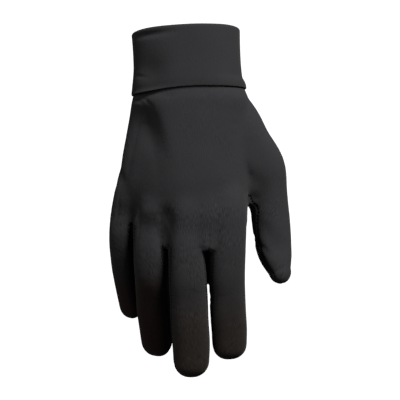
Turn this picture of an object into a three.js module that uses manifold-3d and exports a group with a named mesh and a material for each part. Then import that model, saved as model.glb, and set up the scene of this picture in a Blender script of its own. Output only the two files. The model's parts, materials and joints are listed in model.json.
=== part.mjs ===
// A thin knitted liner glove for a right hand, in the form that it has when it is worn.
//
// The hand points down, its back faces -Y and its thumb is on the +X side. The origin is the middle
// of the wrist opening, where the hand goes in, and +Z points out of the glove along the forearm.
// All sizes are in millimetres.
//
// The glove is sewn from a back panel and a palm panel, which meet along the two outer sides, round
// each fingertip and along the thumb. Between the fingers three narrow forked strips close the sides.
// A wide cuff, folded double over its top edge, holds the upper edge of both panels between its layers.
//
// The whole glove is made as one hollow form first: lofted limbs joined together, less the same limbs
// one cloth thickness smaller. Seam blocks then divide that form into its sewn pieces.

import * as THREE from "three";
import Module from "manifold-3d";

const wasm = await Module();
wasm.setup();

// Cloth and seams

const CLOTH = 1.2;
const SEAM_GAP = 0.3;

// Fineness of the facets, and the size of seam slivers that are closed up

const SIDES = { hand: 32, digit: 14 };
const ROW_STEP = { hand: 8, digit: 10 };
const CAP_STEPS = 3;
const SLIVER = 0.05;

// Cuff: the folded band, measured on its outside

const CUFF_TOP = 1;
const CUFF_HEM = -37.7;
const CUFF_LAYERS_GAP = CLOTH + 2 * SEAM_GAP;
const SLEEVE_INSET = CLOTH + SEAM_GAP;
const SLEEVE_TOP = -5;
const FOLD_RADIUS = CLOTH + CUFF_LAYERS_GAP / 2;
const CUFF_LEVELS = [CUFF_HEM, -30, -20, -10];
const CUFF_TILT = 0.048;
const CUFF_BOW = 1.8;

// z is the height of a section, and left, right, back and front are where its outline reaches.
const CUFF_ROWS = [
  { z: 4, left: -36.2, right: 35.6, back: -25.4, front: 24 },
  { z: -8, left: -35.4, right: 35.8, back: -25.2, front: 24 },
  { z: -22, left: -34.8, right: 36.5, back: -24.8, front: 23.6 },
  { z: -31, left: -35.2, right: 37.4, back: -24.8, front: 23.4 },
  { z: -38, left: -36.2, right: 39.8, back: -25, front: 23.4 },
];

// Hand, from the hem of the cuff to the web between the fingers. archLittle and archThumb are how far
// the two sides fall away towards the palm, tilt is the rise of a section towards the thumb, bow its
// rise at the back, and seamLeft and seamRight are the depths of the side seams.
const HAND_ROWS = [
  {
    z: -40.5, left: -36.3, right: 39.4, back: -24.2, front: 22.2,
    archLittle: 0.5, archThumb: 0.5, tilt: CUFF_TILT, bow: CUFF_BOW, seamLeft: 1, seamRight: 0,
  },
  {
    z: -54, left: -37.4, right: 39.8, back: -23.2, front: 20.8,
    archLittle: 1.5, archThumb: 1.5, tilt: 0.02, bow: 0.8, seamLeft: 2, seamRight: 0,
  },
  {
    z: -69, left: -40.2, right: 39.8, back: -22.2, front: 18.4,
    archLittle: 2.5, archThumb: 2.5, tilt: 0, bow: 0, seamLeft: 2, seamRight: -1,
  },
  {
    z: -84, left: -42.8, right: 40.2, back: -21.2, front: 15.8,
    archLittle: 3.5, archThumb: 3.5, tilt: 0, bow: 0, seamLeft: 2, seamRight: -3,
  },
  {
    z: -100, left: -44.4, right: 41, back: -20, front: 13.2,
    archLittle: 5.5, archThumb: 4, tilt: -0.04, bow: 0, seamLeft: 3.5, seamRight: -5,
  },
  {
    z: -114, left: -45.2, right: 40.6, back: -17, front: 11,
    archLittle: 8, archThumb: 4.5, tilt: -0.12, bow: 0, seamLeft: 6, seamRight: -6,
  },
  {
    z: -126, left: -43.6, right: 37.4, back: -12, front: 8.4,
    archLittle: 10.5, archThumb: 4, tilt: -0.2, bow: 0, seamLeft: 9, seamRight: -5,
  },
  {
    z: -133, left: -40.4, right: 34, back: -7.4, front: 3.6,
    archLittle: 12, archThumb: 3, tilt: -0.26, bow: 0, seamLeft: 13, seamRight: -4,
  },
];
const HAND_POWER = 2.5;
const WEB_LENGTH = 7;

// Soft hollows in the back: where the worn cloth sinks in, how far it spreads and how deep it goes
const HOLLOWS = [
  { x: -23, z: -20, across: 8, along: 8, depth: 1 },
  { x: -22, z: -66, across: 9, along: 13, depth: 2 },
];

// Digits. x, y and z are the middle of a section square to the digit, back and front are its half
// depths on the nail's side and the pad's side, and turn leans the nail's side towards the thumb.
const DIGITS = {
  thumb: {
    cap: 8.6,
    rows: [
      { x: 15, y: 3, z: -38, width: 30, back: 16, front: 16, turn: 10 },
      { x: 30, y: 5, z: -55, width: 33, back: 17, front: 17, turn: 14 },
      { x: 41, y: 8, z: -72, width: 32, back: 16, front: 16.5, turn: 18 },
      { x: 49.6, y: 11.5, z: -88, width: 29.6, back: 14.5, front: 15, turn: 22 },
      { x: 53.6, y: 14, z: -102, width: 27.8, back: 13.2, front: 13.5, turn: 26 },
      { x: 56, y: 15.5, z: -116, width: 26, back: 12.4, front: 12.5, turn: 28 },
      { x: 57.6, y: 16, z: -130, width: 25.2, back: 12, front: 12, turn: 28 },
      { x: 58.7, y: 15.5, z: -142, width: 23.4, back: 11.4, front: 11.4, turn: 28 },
      { x: 60.6, y: 14.5, z: -152, width: 20, back: 10.2, front: 10.2, turn: 28 },
      { x: 62.6, y: 13.5, z: -160.5, width: 13.4, back: 8, front: 8.4, turn: 28 },
    ],
  },
  index: {
    cap: 10.5,
    rows: [
      { x: 24.5, y: -0.5, z: -92, width: 20, back: 10, front: 10, turn: 6 },
      { x: 26, y: -4.2, z: -107, width: 23.4, back: 12.4, front: 11.4, turn: 8 },
      { x: 26.8, y: -5.6, z: -122, width: 25, back: 12.8, front: 12, turn: 8 },
      { x: 26.8, y: -4.2, z: -143, width: 25, back: 11.8, front: 11.8, turn: 8 },
      { x: 27.1, y: -1.4, z: -160, width: 24.4, back: 11.4, front: 11.2, turn: 8 },
      { x: 27.4, y: 1.6, z: -172, width: 23.8, back: 11.4, front: 10.8, turn: 8 },
      { x: 28.1, y: 6, z: -186, width: 23.4, back: 10.2, front: 10.4, turn: 8 },
      { x: 29.1, y: 10.6, z: -198, width: 23, back: 9.6, front: 9.8, turn: 8 },
      { x: 29.4, y: 14, z: -207.5, width: 22.6, back: 9.2, front: 9.2, turn: 8 },
    ],
  },
  middle: {
    cap: 11.5,
    rows: [
      { x: 0, y: -2.5, z: -92, width: 20, back: 10, front: 10, turn: 4 },
      { x: 0.2, y: -6, z: -107, width: 24, back: 12.4, front: 11.4, turn: 5 },
      { x: 0.4, y: -7, z: -122, width: 25.4, back: 13, front: 12.2, turn: 5 },
      { x: 0.7, y: -6, z: -142, width: 25.6, back: 12.2, front: 12.2, turn: 5 },
      { x: 1.3, y: -4, z: -160, width: 25.6, back: 11.8, front: 11.6, turn: 5 },
      { x: 1.9, y: -1, z: -174, width: 25.4, back: 11.8, front: 11.2, turn: 5 },
      { x: 2.4, y: 3.4, z: -190, width: 25, back: 10.6, front: 10.8, turn: 5 },
      { x: 3, y: 8.4, z: -205, width: 25, back: 10, front: 10.2, turn: 5 },
      { x: 3.4, y: 13, z: -218.5, width: 24.6, back: 9.6, front: 9.6, turn: 5 },
    ],
  },
  ring: {
    cap: 11,
    rows: [
      { x: -21, y: -0.5, z: -90, width: 19, back: 10, front: 10, turn: -8 },
      { x: -22.2, y: -3.2, z: -105, width: 22.4, back: 12, front: 11, turn: -10 },
      { x: -23.2, y: -2.6, z: -119, width: 23.4, back: 12.4, front: 11.8, turn: -12 },
      { x: -23.4, y: 1, z: -136, width: 23, back: 11.4, front: 11.4, turn: -12 },
      { x: -23.1, y: 7, z: -152, width: 22.4, back: 10.8, front: 10.8, turn: -12 },
      { x: -22.9, y: 12.6, z: -165, width: 22, back: 10.8, front: 10.4, turn: -12 },
      { x: -22.6, y: 19.2, z: -178, width: 22, back: 9.8, front: 10, turn: -12 },
      { x: -21.9, y: 26.2, z: -192, width: 21.8, back: 9.4, front: 9.6, turn: -12 },
      { x: -21, y: 33.6, z: -206.5, width: 21, back: 9, front: 9.2, turn: -12 },
    ],
  },
  little: {
    cap: 9.6,
    rows: [
      { x: -33, y: 3, z: -84, width: 17, back: 9, front: 9, turn: -14 },
      { x: -35.6, y: 3.4, z: -98, width: 19.6, back: 10.8, front: 10.2, turn: -18 },
      { x: -38.4, y: 5.2, z: -111, width: 20.6, back: 11.4, front: 10.8, turn: -22 },
      { x: -41.2, y: 9.6, z: -124, width: 20, back: 10.6, front: 10.4, turn: -22 },
      { x: -42.6, y: 15.8, z: -137, width: 18.8, back: 9.8, front: 9.6, turn: -22 },
      { x: -42.8, y: 22.4, z: -149, width: 18, back: 9.6, front: 9, turn: -22 },
      { x: -42.2, y: 29.8, z: -161, width: 17.6, back: 8.6, front: 8.8, turn: -22 },
      { x: -41, y: 37, z: -172.5, width: 17.4, back: 8.2, front: 8.4, turn: -22 },
      { x: -39.8, y: 43.4, z: -183.5, width: 17, back: 7.9, front: 8, turn: -22 },
    ],
  },
};
const DIGIT_POWER = 2.15;

// Cap of a fingertip: how blunt it is, and the share of a step that it stops short of a point
const CAP_BLUNTNESS = 0.9;
const CAP_SHORT = 0.25;

// Forked strips: their width on the side of a finger, at the web and near the fingertip, and how far
// they rise above the web between the two fingers they join
const STRIP_WEB_WIDTH = 11;
const STRIP_END_WIDTH = 4;
const STRIP_RISE = 6;
const FORKS = [
  { name: "strip_index_middle", nearer: "index", farther: "middle", web: -141 },
  { name: "strip_middle_ring", nearer: "middle", farther: "ring", web: -136 },
  { name: "strip_ring_little", nearer: "ring", farther: "little", web: -128 },
];

// Seam blocks: how far they reach past the cloth, where the hand's has its far sides, the room left
// round the cloth, and where the fingers' begin
const BLOCK_REACH = 45;
const BLOCK_FAR = -90;
const BLOCK_MARGIN = 1.4;
const FINGER_BLOCK_TOP = -100;

// The row at a position along a table, counted in rows, with every column on a Catmull-Rom spline.
function easedRow(rows, position) {
  const n = Math.min(Math.floor(position), rows.length - 2);
  const t = position - n;
  const pick = (k) => rows[Math.max(0, Math.min(rows.length - 1, k))];
  const [a, b, c, d] = [pick(n - 1), pick(n), pick(n + 1), pick(n + 2)];
  const eased = {};
  for (const column of Object.keys(b)) {
    const rise = (c[column] - a[column]) / 2;
    const fall = (d[column] - b[column]) / 2;
    const span = b[column] - c[column];
    const cubic = 2 * span + rise + fall;
    const square = -3 * span - 2 * rise - fall;
    eased[column] = ((cubic * t + square) * t + rise) * t + b[column];
  }
  return eased;
}

// A table's rows at about the given step, measured down the limb.
function easedRows(rows, step) {
  const found = [];
  for (let n = 0; n < rows.length - 1; n++) {
    const length = Math.hypot(
      (rows[n + 1].x ?? 0) - (rows[n].x ?? 0),
      (rows[n + 1].y ?? 0) - (rows[n].y ?? 0),
      rows[n + 1].z - rows[n].z,
    );
    const parts = Math.max(1, Math.round(length / step));
    for (let k = 0; k < parts; k++) found.push(easedRow(rows, n + k / parts));
  }
  found.push(rows[rows.length - 1]);
  return found;
}

// Across and out shares, from -1 to 1, of a point on a rounded outline with that power.
function outline(angle, power) {
  const bent = (v) => Math.sign(v) * Math.abs(v) ** (2 / power);
  return { across: bent(Math.cos(angle)), out: bent(Math.sin(angle)) };
}

// How far the back sinks in at a place.
function hollowDepth(x, z) {
  const sunk = (h) => h.depth * Math.exp(-(((x - h.x) / h.across) ** 2) - ((z - h.z) / h.along) ** 2);
  return HOLLOWS.reduce((sum, hollow) => sum + sunk(hollow), 0);
}

// The ring of a level section, at a distance inside its outline.
function levelRing(row, inset) {
  const half = (row.right - row.left) / 2 - inset;
  const middle = (row.right + row.left) / 2;
  const seat = (row.back + row.front) / 2;
  const depth = (row.front - row.back) / 2 - inset;
  const ring = [];
  for (let k = 0; k < SIDES.hand; k++) {
    const { across, out } = outline((2 * Math.PI * k) / SIDES.hand, HAND_POWER);
    const fall = (across < 0 ? row.archLittle : row.archThumb) * across * across;
    const rise = row.tilt * half * across + row.bow * Math.max(0, out) ** 2;
    const x = middle + half * across;
    const sunk = Math.max(0, out) * hollowDepth(x, row.z);
    ring.push(new THREE.Vector3(x, seat + fall + sunk - depth * out, row.z + rise));
  }
  return ring;
}

// The ring of the cuff's outline at a height, which the sleeve inside it shares.
function cuffRing(z, inset) {
  const rows = [...CUFF_ROWS].reverse();
  const inside = Math.max(rows[0].z, Math.min(rows[rows.length - 1].z, z));
  const n = rows.findIndex((row, k) => k > 0 && inside <= row.z);
  const share = (inside - rows[n - 1].z) / (rows[n].z - rows[n - 1].z);
  const flat = { archLittle: 0, archThumb: 0, tilt: CUFF_TILT, bow: CUFF_BOW };
  return levelRing({ ...easedRow(rows, n - 1 + share), ...flat, z }, inset);
}

// The three directions of each section of a digit: along it, across it, and out of its back.
function withFrames(rows) {
  return rows.map((row, n) => {
    const before = rows[Math.max(0, n - 1)];
    const after = rows[Math.min(rows.length - 1, n + 1)];
    const along = new THREE.Vector3(after.x - before.x, after.y - before.y, after.z - before.z).normalize();
    const across = new THREE.Vector3(1, 0, 0).addScaledVector(along, -along.x).normalize();
    across.applyAxisAngle(along, THREE.MathUtils.degToRad(-row.turn));
    const out = new THREE.Vector3().crossVectors(along, across);
    return { ...row, middle: new THREE.Vector3(row.x, row.y, row.z), along, across, out };
  });
}

// A point of a digit's section, from its middle.
function sectionPoint(row, across, out) {
  return row.middle.clone().addScaledVector(row.across, across).addScaledVector(row.out, out);
}

function digitRing(row, inset) {
  const ring = [];
  for (let k = 0; k < SIDES.digit; k++) {
    const { across, out } = outline((2 * Math.PI * k) / SIDES.digit, DIGIT_POWER);
    const depth = (out > 0 ? row.back : row.front) - inset;
    ring.push(sectionPoint(row, (row.width / 2 - inset) * across, depth * out));
  }
  return ring;
}

// The rows of a digit with the rounded cap of its tip, ending just short of a point.
function digitRows(digit, inset) {
  const rows = withFrames(easedRows(digit.rows, ROW_STEP.digit));
  const last = rows[rows.length - 1];
  for (let k = 1; k <= CAP_STEPS; k++) {
    const angle = (Math.PI / 2) * (k / (CAP_STEPS + CAP_SHORT));
    const share = Math.cos(angle) ** CAP_BLUNTNESS;
    rows.push({
      ...last,
      middle: last.middle.clone().addScaledVector(last.along, (digit.cap - inset) * Math.sin(angle)),
      width: 2 * inset + (last.width - 2 * inset) * share,
      back: inset + (last.back - inset) * share,
      front: inset + (last.front - inset) * share,
    });
  }
  return rows;
}

// A solid through rings of points. A looped one joins its last ring to its first. The others get flat
// ends of strips across the ring, so a crescent's end stays inside its outline.
function throughRings(rings, looped = false) {
  const sides = rings[0].length;
  const faces = [];
  const addQuad = (a, b, c, d) => faces.push(a, b, c, a, c, d);
  const spans = looped ? rings.length : rings.length - 1;
  for (let n = 0; n < spans; n++) {
    const here = n * sides;
    const next = ((n + 1) % rings.length) * sides;
    for (let k = 0; k < sides; k++) {
      const turn = (k + 1) % sides;
      addQuad(here + k, next + k, next + turn, here + turn);
    }
  }
  if (!looped) {
    const end = (rings.length - 1) * sides;
    for (let k = 1; k < sides / 2; k++) {
      const [near, far] = [k - 1, (sides - k + 1) % sides];
      const [last, opposite] = [k, sides - k];
      if (near === far) {
        faces.push(near, last, opposite, end + near, end + opposite, end + last);
      } else {
        addQuad(near, last, opposite, far);
        addQuad(end + far, end + opposite, end + last, end + near);
      }
    }
    const [before, point, after] = [sides / 2 - 1, sides / 2, sides / 2 + 1];
    faces.push(before, point, after, end + after, end + point, end + before);
  }
  return solidOf(rings.flat(), faces);
}

// A solid with its faces pointing out, whichever way round they were listed.
function solidOf(points, faces) {
  const make = (triVerts) =>
    new wasm.Manifold(
      new wasm.Mesh({
        numProp: 3,
        vertProperties: new Float32Array(points.flatMap((p) => [p.x, p.y, p.z])),
        triVerts: new Uint32Array(triVerts),
      }),
    );
  const made = make(faces);
  return made.volume() > 0 ? made : make([...faces].reverse());
}

// The hand and its digits as one solid, at a distance inside the outer surface of the cloth. With a
// distance it is the hollow, so it runs on out of the wrist.
function handForm(inset) {
  const levels = [SLEEVE_TOP, ...[...CUFF_LEVELS].reverse()];
  if (inset > 0) levels.unshift(BLOCK_REACH);
  const collar = levels.map((z) => cuffRing(z, SLEEVE_INSET + inset));
  const rows = easedRows(HAND_ROWS, ROW_STEP.hand);
  const palm = rows.map((row) => levelRing(row, inset));
  const last = rows[rows.length - 1];
  for (let k = 1; k < CAP_STEPS; k++) {
    const angle = (Math.PI / 2) * (k / CAP_STEPS);
    const middle = (last.back + last.front) / 2;
    const share = Math.cos(angle);
    const row = {
      ...last,
      z: last.z - (WEB_LENGTH - inset) * Math.sin(angle),
      back: middle + (last.back - middle + inset) * share - inset,
      front: middle + (last.front - middle - inset) * share + inset,
    };
    palm.push(levelRing(row, inset));
  }
  let form = throughRings([...collar, ...palm]);
  for (const digit of Object.values(DIGITS)) {
    form = form.add(throughRings(digitRows(digit, inset).map((row) => digitRing(row, inset))));
  }
  return form;
}

// Everything on the back's side of the side seams, grown by a gap on all its faces.
function backBlock(gap) {
  const margin = BLOCK_MARGIN + gap;
  const level = (row) => {
    const left = new THREE.Vector3(BLOCK_FAR, row.seamLeft + gap, row.z);
    const right = new THREE.Vector3(row.right + margin, row.seamRight + gap, row.z);
    return [left, right, right.clone().setY(BLOCK_FAR), left.clone().setY(BLOCK_FAR)];
  };
  const hand = easedRows(HAND_ROWS.slice(0, -1), ROW_STEP.hand);
  const [first, last] = [hand[0], hand[hand.length - 1]];
  const rows = [{ ...first, z: BLOCK_REACH }, ...hand, { ...last, z: last.z - gap }];
  let block = throughRings(rows.map(level));
  for (const [name, digit] of Object.entries(DIGITS)) {
    const sections = digitRows(digit, 0).filter((row) => name === "thumb" || row.z < FINGER_BLOCK_TOP);
    const tip = sections[sections.length - 1];
    sections.push({ ...tip, middle: tip.middle.clone().addScaledVector(tip.along, margin) });
    const rings = sections.map((row) => {
      const side = Math.max(row.width, digit.rows.at(-1).width) / 2 + margin;
      const corners = [[-side, -gap], [side, -gap], [side, BLOCK_REACH], [-side, BLOCK_REACH]];
      return corners.map(([across, out]) => sectionPoint(row, across, out));
    });
    block = block.add(throughRings(rings));
  }
  return block;
}

// The zone of one side strip of a finger, from above the web down to the fingertip.
function stripZone(digit, side, web, grow) {
  const rows = withFrames(easedRows(digit.rows, ROW_STEP.digit)).filter((row) => row.z < web + STRIP_RISE);
  const rings = rows.map((row, n) => {
    const share = n / (rows.length - 1);
    const half = THREE.MathUtils.lerp(STRIP_WEB_WIDTH, STRIP_END_WIDTH, share) / 2 + grow;
    const reach = side * (row.width / 2 + BLOCK_MARGIN + grow);
    return [[0, -half], [reach, -half], [reach, half], [0, half]].map(([across, out]) =>
      sectionPoint(row, across, out),
    );
  });
  return throughRings(rings);
}

function forkZone(nearer, farther, web, grow) {
  return stripZone(DIGITS[nearer], -1, web, grow).add(stripZone(DIGITS[farther], 1, web, grow));
}

// The largest body of a solid, without the crumbs that a seam can leave.
function mainBody(solid) {
  const bodies = solid.decompose().sort((a, b) => b.volume() - a.volume());
  return bodies[0];
}

// The folded cuff: a closed profile of cloth, up its outer layer, over the fold and down its inner layer.
function cuffSolid() {
  const profile = [];
  const innerLayer = CLOTH + CUFF_LAYERS_GAP;
  const fold = CUFF_TOP - FOLD_RADIUS;
  const add = (inset, z) => profile.push({ inset, z });
  const roll = (radius, outwards = false) => {
    for (let k = 0; k <= CAP_STEPS * 2; k++) {
      const angle = (Math.PI * k) / (CAP_STEPS * 2);
      const across = radius * Math.cos(angle) * (outwards ? -1 : 1);
      add(FOLD_RADIUS - across, fold + radius * Math.sin(angle));
    }
  };
  const innerLevels = [CUFF_HEM + CLOTH, ...CUFF_LEVELS.slice(1)];
  for (const z of CUFF_LEVELS) add(0, z);
  roll(FOLD_RADIUS);
  for (const z of [...innerLevels].reverse()) add(innerLayer + CLOTH, z);
  for (const z of innerLevels) add(innerLayer, z);
  roll(CUFF_LAYERS_GAP / 2, true);
  for (const z of [...CUFF_LEVELS].reverse()) add(CLOTH, z);
  return throughRings(
    profile.map(({ inset, z }) => cuffRing(z, inset)),
    true,
  );
}

// A named mesh of a solid, without the slivers that its seams leave.
function meshOf(name, solid, material) {
  const { vertProperties, triVerts } = solid.asOriginal().simplify(SLIVER).getMesh();
  const geometry = new THREE.BufferGeometry();
  geometry.setAttribute("position", new THREE.BufferAttribute(vertProperties, 3));
  geometry.setIndex(new THREE.BufferAttribute(triVerts, 1));
  geometry.computeVertexNormals();
  const mesh = new THREE.Mesh(geometry, material);
  mesh.name = name;
  return mesh;
}

// Materials

const jersey = new THREE.MeshStandardMaterial({ color: 0x1c1c1e, roughness: 0.95, metalness: 0 });
const stripJersey = new THREE.MeshStandardMaterial({ color: 0x18181a, roughness: 0.95, metalness: 0 });
const cuffJersey = new THREE.MeshStandardMaterial({ color: 0x1e1e20, roughness: 0.92, metalness: 0 });

// Assembly

const shell = handForm(0).subtract(handForm(CLOTH));
let forkSpace = null;
for (const { nearer, farther, web } of FORKS) {
  const zone = forkZone(nearer, farther, web, SEAM_GAP);
  forkSpace = forkSpace ? forkSpace.add(zone) : zone;
}
const panels = shell.subtract(forkSpace);

const glove = new THREE.Group();
glove.add(meshOf("back_panel", mainBody(panels.intersect(backBlock(0))), jersey));
glove.add(meshOf("palm_panel", mainBody(panels.subtract(backBlock(SEAM_GAP))), jersey));
for (const { name, nearer, farther, web } of FORKS) {
  glove.add(meshOf(name, mainBody(shell.intersect(forkZone(nearer, farther, web, 0))), stripJersey));
}
glove.add(meshOf("cuff", cuffSolid(), cuffJersey));

export default glove;
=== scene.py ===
import json
import math

import bmesh
import bpy
import numpy as np
from bpy.props import FloatProperty, FloatVectorProperty, PointerProperty
from mathutils import Matrix, Vector, noise

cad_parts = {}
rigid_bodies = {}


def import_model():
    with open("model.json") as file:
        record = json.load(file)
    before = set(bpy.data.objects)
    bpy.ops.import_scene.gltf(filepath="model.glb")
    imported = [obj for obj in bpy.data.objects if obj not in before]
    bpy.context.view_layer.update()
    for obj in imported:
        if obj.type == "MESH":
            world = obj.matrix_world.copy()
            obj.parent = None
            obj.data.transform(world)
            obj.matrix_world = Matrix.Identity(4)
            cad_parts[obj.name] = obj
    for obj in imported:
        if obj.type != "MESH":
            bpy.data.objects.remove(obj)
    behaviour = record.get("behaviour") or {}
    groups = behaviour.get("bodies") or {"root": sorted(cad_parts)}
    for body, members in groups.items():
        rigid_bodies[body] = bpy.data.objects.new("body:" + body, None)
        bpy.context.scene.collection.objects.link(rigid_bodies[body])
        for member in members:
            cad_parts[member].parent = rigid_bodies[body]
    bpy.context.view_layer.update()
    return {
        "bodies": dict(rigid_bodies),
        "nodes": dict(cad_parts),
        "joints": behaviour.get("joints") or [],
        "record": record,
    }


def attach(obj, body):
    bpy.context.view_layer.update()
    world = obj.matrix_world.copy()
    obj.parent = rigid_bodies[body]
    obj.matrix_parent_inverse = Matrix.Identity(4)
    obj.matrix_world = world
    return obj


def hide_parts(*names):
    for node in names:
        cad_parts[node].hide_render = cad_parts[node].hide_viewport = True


bl_info = {
    "name": "Knitted Liner Glove",
    "version": (1, 0, 0),
    "blender": (4, 5, 0),
    "location": "View3D > Sidebar > Glove",
    "description": "Knitted cloth, sewn seams and a soft studio for the solids of a liner glove",
    "category": "Object",
}

# The glove hangs in the frame of its solids: the wrist opening at the origin, the fingers down,
# the back of the hand facing -Y and the thumb at +X. Tables are in millimetres, meshes in metres.

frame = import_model()
MM = 0.001


def table(columns, *rows):
    """Rows of numbers as dicts under their column names."""
    return [dict(zip(columns.split(), row)) for row in rows]


# Cuff: the height of its rim, how the rim tilts and bows, the cloth and the gap between its layers
CUFF_TOP = 1.5
CUFF_TILT = 0.048
CUFF_BOW = 1.8
CUFF_CLOTH = 1
LAYERS_GAP = 1.8
CUFF_ROWS = table(
    "z left right back front",
    (-38, -36.2, 40.2, -24.9, 23.4),
    (-34.5, -35.8, 39.4, -24.8, 23.4),
    (-31, -35.4, 37.5, -24.8, 23.4),
    (-22, -34.8, 36.5, -24.8, 23.6),
    (-8, -35.4, 35.9, -25.2, 24),
    (4.5, -36.3, 35.8, -25.4, 24),
)
CUFF_FLAT = (0.2, 0.086)

# Steps of the cuff's mesh: round it, down a layer, over its fold and round its hems
CUFF_SIDES = 240
LAYER_STEPS = 40
FOLD_STEPS = 12
INNER_FOLD_STEPS = 6
HEM_STEPS = 6
INNER_HEM_STEPS = 4

# How far down its inner layer goes, its share of the cloth's unevenness, and how far from its middle
# plane it faces fully back or front
INNER_REACH = 0.97
CUFF_UNEVEN = 0.5
CUFF_FACING = 10

# Hem of the cuff's outer layer along X, from little finger to thumb
HEM = table("x z", (-36, -41.2), (-26, -39.8), (-14, -38), (-4, -37), (6, -36.5), (22, -36.4), (40, -36.8))

# Cloth of the hand inside the cuff: its cut edge, its inset, and the heights and number of its rings
SLEEVE_TOP = -5
SLEEVE_INSET = 1.5
SLEEVE_RINGS = (-1, -37.5, 10)

# Hand, from the hem to the webs of the fingers
HAND_ROWS = table(
    "z left right back front arch_little arch_thumb tilt bow seam_left seam_right",
    (-40.5, -35.4, 39.8, -22.8, 21.4, 0.5, 0.5, 0.048, 1.8, 1, 0),
    (-45.5, -36.4, 42, -23.6, 21.8, 0.5, 0.5, 0.04, 1.4, 1, 0),
    (-54, -37.6, 41, -23.2, 20.8, 1.5, 1.5, 0.02, 0.8, 2, 0),
    (-69, -40.2, 39.8, -22.2, 18.4, 2.5, 2.5, 0, 0, 2, -1),
    (-84, -42.8, 40.2, -21.2, 15.8, 3.5, 3.5, 0, 0, 2, -3),
    (-100, -44.6, 41, -20, 13.2, 5.5, 4, -0.04, 0, 3.5, -5),
    (-114, -45.6, 41.4, -17, 11, 8, 4.5, -0.12, 0, 6, -6),
    (-126, -44.4, 39.4, -12, 8.4, 10.5, 4, -0.2, 0, 9, -5),
    (-133, -40.8, 35.4, -7.4, 3.6, 12, 3, -0.26, 0, 13, -4),
)
HAND_POWER = 2.5
HAND_SIDES = 96
WEB_LENGTH = 7

# Digits: the middle of each section, its width, its depths at the nail's and the pad's side, and
# how far the nail's side leans towards the thumb
DIGIT_COLUMNS = "x y z width back front turn"
DIGITS = {name: table(DIGIT_COLUMNS, *rows) for name, rows in {
    "thumb": [
        (15, 3, -38, 30, 16, 16, 10),
        (30.2, 5, -55, 33, 17, 17, 14),
        (40.2, 8, -72, 32.6, 16, 16.5, 17),
        (50.4, 11.5, -88, 31.6, 14.5, 15, 18),
        (53.9, 14, -102, 28.2, 13.2, 13.5, 18),
        (56.2, 15.5, -116, 25.8, 12.4, 12.5, 18),
        (57.8, 16, -130, 25, 12, 12, 18),
        (59.2, 15.5, -142, 23.6, 11.4, 11.4, 20),
        (61.2, 14.5, -151, 20.4, 10.2, 10.2, 22),
        (63.3, 13.5, -158.6, 14, 8.2, 8.6, 24),
    ],
    "index": [
        (24.5, -0.5, -92, 20, 10, 10, 6),
        (26.4, -4.2, -107, 24, 12.4, 11.4, 8),
        (27.2, -5.6, -122, 25.2, 12.8, 12, 8),
        (27.4, -4.2, -143, 24, 11.8, 11.8, 8),
        (27.3, -1.4, -160, 23.8, 11.4, 11.2, 8),
        (27.5, 1.6, -172, 23.8, 11.4, 10.8, 8),
        (28.1, 6, -186, 24, 10.2, 10.4, 8),
        (28.9, 10.6, -198, 24, 9.6, 9.8, 8),
        (29.2, 14, -207.5, 23.2, 9.2, 9.2, 8),
    ],
    "middle": [
        (0, -2.5, -92, 20, 10, 10, 4),
        (0.2, -6, -107, 24, 12.4, 11.4, 5),
        (0.2, -7, -122, 24.8, 13, 12.2, 5),
        (0.2, -6, -142, 23.8, 12.2, 12.2, 5),
        (1, -4, -160, 24.8, 11.8, 11.6, 5),
        (1.8, -1, -174, 25.4, 11.8, 11.2, 5),
        (2.4, 3.4, -190, 25.4, 10.6, 10.8, 5),
        (3.2, 8.4, -205, 25.4, 10, 10.2, 5),
        (3.4, 13, -218.5, 24.4, 9.6, 9.6, 5),
    ],
    "ring": [
        (-21, -0.5, -90, 19, 10, 10, -8),
        (-22.2, -3, -105, 22.4, 12, 11, -10),
        (-23.4, -2, -119, 23, 12.4, 11.8, -11),
        (-23.6, 1, -136, 22.6, 11.4, 11.4, -15),
        (-23.3, 4.6, -150, 23, 11, 10.8, -15),
        (-22.9, 9.4, -162, 23.2, 11.2, 10.2, -16),
        (-22.5, 18.2, -175, 23.2, 10.2, 10, -18),
        (-21.9, 28, -191, 23, 9.4, 9.6, -18),
        (-20.8, 37.2, -208, 21.4, 9, 9.2, -18),
    ],
    "little": [
        (-33, 3, -84, 17, 9, 9, -14),
        (-35.8, 3.8, -98, 19.6, 10.8, 10.2, -16),
        (-38.6, 5.6, -111, 20.2, 11.4, 10.8, -18),
        (-41.2, 9, -124, 19.2, 10.6, 10.4, -18),
        (-42.4, 13.6, -135.6, 18.4, 10.2, 9.6, -20),
        (-42.4, 20.6, -147.6, 17.6, 10, 9, -22),
        (-41.6, 29.6, -161.4, 17.2, 8.8, 8.8, -24),
        (-40.5, 38.4, -173, 16.6, 8.2, 8.4, -24),
        (-39, 46, -184, 15.8, 7.9, 8, -24),
    ],
}.items()}

# Where the cloth spans two limbs: the webs of the fingers and the thumb, and the places where the
# middle finger touches index and ring finger
BRIDGES = [table(DIGIT_COLUMNS, *rows) for rows in (
    [(13.4, -4, -104, 18, 14, 11, 6), (13.6, -5, -122, 20, 13.8, 10, 6),
     (13.7, -4.6, -143, 15, 12.4, 10, 6)],
    [(-10.8, -1, -104, 12, 13, 11, -2), (-11, -1.4, -118, 12, 12.5, 10, -6),
     (-11.6, 1.5, -140.5, 9, 11, 9, -8)],
    [(-31.4, 3, -98, 10, 11, 9, -16), (-32.4, 4.4, -110, 10, 10.5, 9, -20),
     (-33.4, 7, -122.6, 8, 9, 8, -22)],
    [(39, 8, -94, 12, 10, 10, 14), (42, 9.5, -104, 12, 10, 10, 18), (43.8, 10.5, -113.4, 8, 8.5, 9, 22)],
    [(13.6, -1, -134, 6, 2.6, 2.6, 0), (14.2, 0.5, -165.5, 5, 2.6, 2.6, 0)],
    [(-11.4, 3, -128, 4, 3, 3, -10), (-11, 5, -150, 4, 3, 3, -10), (-10.6, 12, -168, 3, 2, 2, -10)],
)]
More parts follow.
